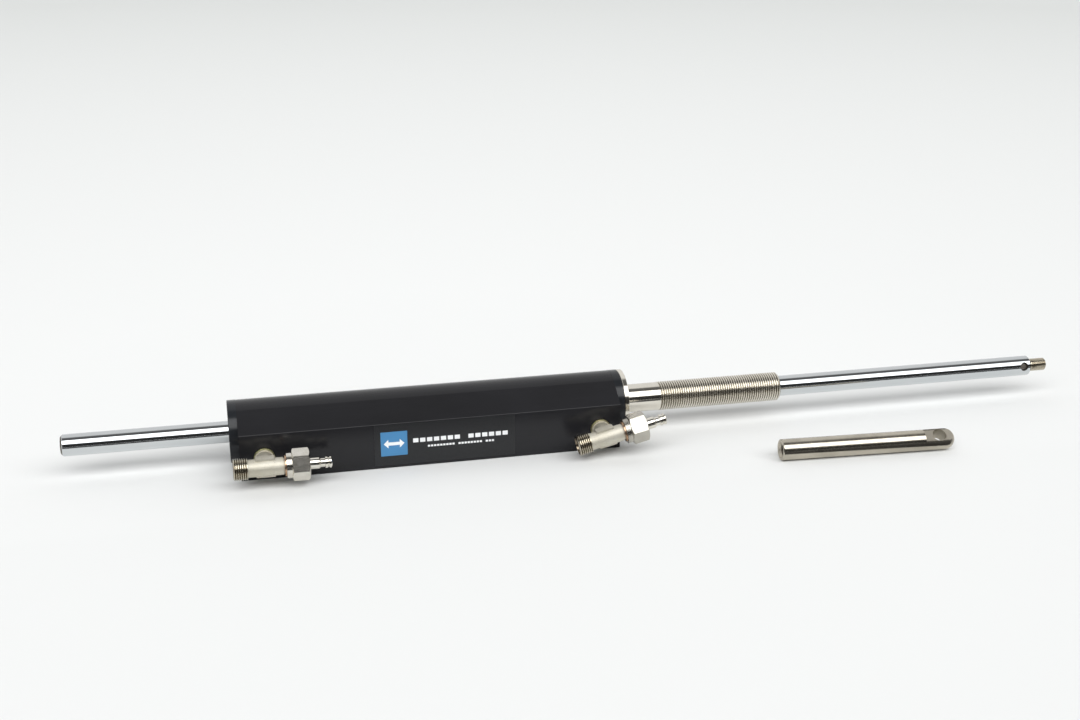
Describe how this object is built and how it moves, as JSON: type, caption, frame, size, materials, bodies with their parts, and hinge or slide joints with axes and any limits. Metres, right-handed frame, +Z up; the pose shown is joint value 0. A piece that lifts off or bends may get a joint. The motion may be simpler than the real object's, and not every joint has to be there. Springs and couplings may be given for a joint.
{
  "type": "double-ended hydraulic steering cylinder",
  "caption": "Through-rod hydraulic steering cylinder with flat-sided black barrel, threaded support tube, swivel hose tees with bleeders, and loose rod-end eye.",
  "frame": {"origin": "on the flat underside of the barrel, below the rod axis and the barrel's middle", "axes": "+X along the rod towards the threaded stud, -Y the face with the two oil ports, +Z up, away from the flat underside"},
  "size_m": [0.7702, 0.1179, 0.0492],
  "materials": {
    "black_anodised": "satin black anodised extrusion",
    "black_anodised_gland": "satin black anodised, turned",
    "chrome_rod": "polished hard chrome",
    "stainless_tube": "turned stainless, bright",
    "stainless_extension": "turned stainless, dull",
    "nickel_brass": "nickel plated, tumbled casting",
    "nickel_brass_turned": "nickel plated, turned",
    "zinc_washer": "yellow passivated zinc",
    "copper_washer": "soft copper",
    "seal_rubber": "matt black nitrile",
    "seal_urethane": "blue polyurethane",
    "bronze_bush": "bearing bronze",
    "acetal_ring": "white acetal",
    "spring_steel": "phosphated spring steel",
    "piston_aluminium": "turned aluminium",
    "label_film": "gloss black film with blue panel"
  },
  "bodies": {
    "cylinder_body": {"barrel": "black_anodised", "rear_gland": "black_anodised_gland", "front_gland": "black_anodised_gland", "rear_gland_oring": "seal_rubber", "front_gland_oring": "seal_rubber", "rear_rod_seal": "seal_urethane", "front_rod_seal": "seal_urethane", "rear_guide_bush": "bronze_bush", "front_guide_bush": "bronze_bush", "rear_wiper": "seal_rubber", "support_tube": "stainless_tube", "tube_end_bush": "bronze_bush", "tube_end_wiper": "seal_rubber", "name_plate": "label_film", "rear_port_washer": "zinc_washer", "front_port_washer": "zinc_washer"},
    "piston_carriage": {"piston_seal": "seal_urethane", "rear_guide_ring": "acetal_ring", "front_guide_ring": "acetal_ring"},
    "rod_assembly": {"piston_rod": "chrome_rod", "piston": "piston_aluminium", "piston_oring": "seal_rubber", "rear_retaining_ring": "spring_steel", "front_retaining_ring": "spring_steel"},
    "loose_extension": {"rod_end_extension": "stainless_extension"},
    "rear_tee": {"rear_tee_body": "nickel_brass", "rear_tee_oring": "seal_rubber", "rear_copper_washer": "copper_washer"},
    "rear_nipple": {"rear_bleed_nipple": "nickel_brass_turned"},
    "rear_screw": {"rear_bleed_screw": "nickel_brass"},
    "front_tee": {"front_tee_body": "nickel_brass", "front_tee_oring": "seal_rubber", "front_copper_washer": "copper_washer"},
    "front_nipple": {"front_bleed_nipple": "nickel_brass_turned"},
    "front_screw": {"front_bleed_screw": "nickel_brass"}
  },
  "joints": [
    {"name": "rod_slide", "type": "slide", "parent": "cylinder_body", "child": "piston_carriage", "axis": [1, 0, 0], "range_m": [-0.1, 0.1]},
    {"name": "rod_turn", "type": "hinge", "parent": "piston_carriage", "child": "rod_assembly", "pos_m": [0, 0, 0.0262], "axis": [1, 0, 0], "continuous": true},
    {"name": "extension_lift", "type": "slide", "parent": "cylinder_body", "child": "loose_extension", "axis": [0, 0, 1], "range_m": [0, 0.12]},
    {"name": "rear_tee_swivel", "type": "hinge", "parent": "cylinder_body", "child": "rear_tee", "pos_m": [-0.1228, -0.03175, 0.017], "axis": [0, -1, 0], "range_deg": [-8, 90]},
    {"name": "rear_bleed_lift", "type": "slide", "parent": "rear_tee", "child": "rear_nipple", "axis": [1, 0, 0], "range_m": [0, 0.001]},
    {"name": "rear_bleed_turn", "type": "hinge", "parent": "rear_nipple", "child": "rear_screw", "pos_m": [-0.1028, -0.04905, 0.017], "axis": [1, 0, 0], "range_deg": [0, 360]},
    {"name": "front_tee_swivel", "type": "hinge", "parent": "cylinder_body", "child": "front_tee", "pos_m": [0.1246, -0.03175, 0.017], "axis": [0, -1, 0], "range_deg": [-21.4, 76.6]},
    {"name": "front_bleed_lift", "type": "slide", "parent": "front_tee", "child": "front_nipple", "axis": [0.9728, 0, 0.2317], "range_m": [0, 0.001]},
    {"name": "front_bleed_turn", "type": "hinge", "parent": "front_nipple", "child": "front_screw", "pos_m": [0.14406, -0.04905, 0.02164], "axis": [0.9728, 0, 0.2317], "range_deg": [0, 360]}
  ],
  "couplings": [
    {"joint": "rear_bleed_turn", "follows": "rear_bleed_lift", "rad_per_m": 6283.2},
    {"joint": "front_bleed_turn", "follows": "front_bleed_lift", "rad_per_m": 6283.2}
  ]
}
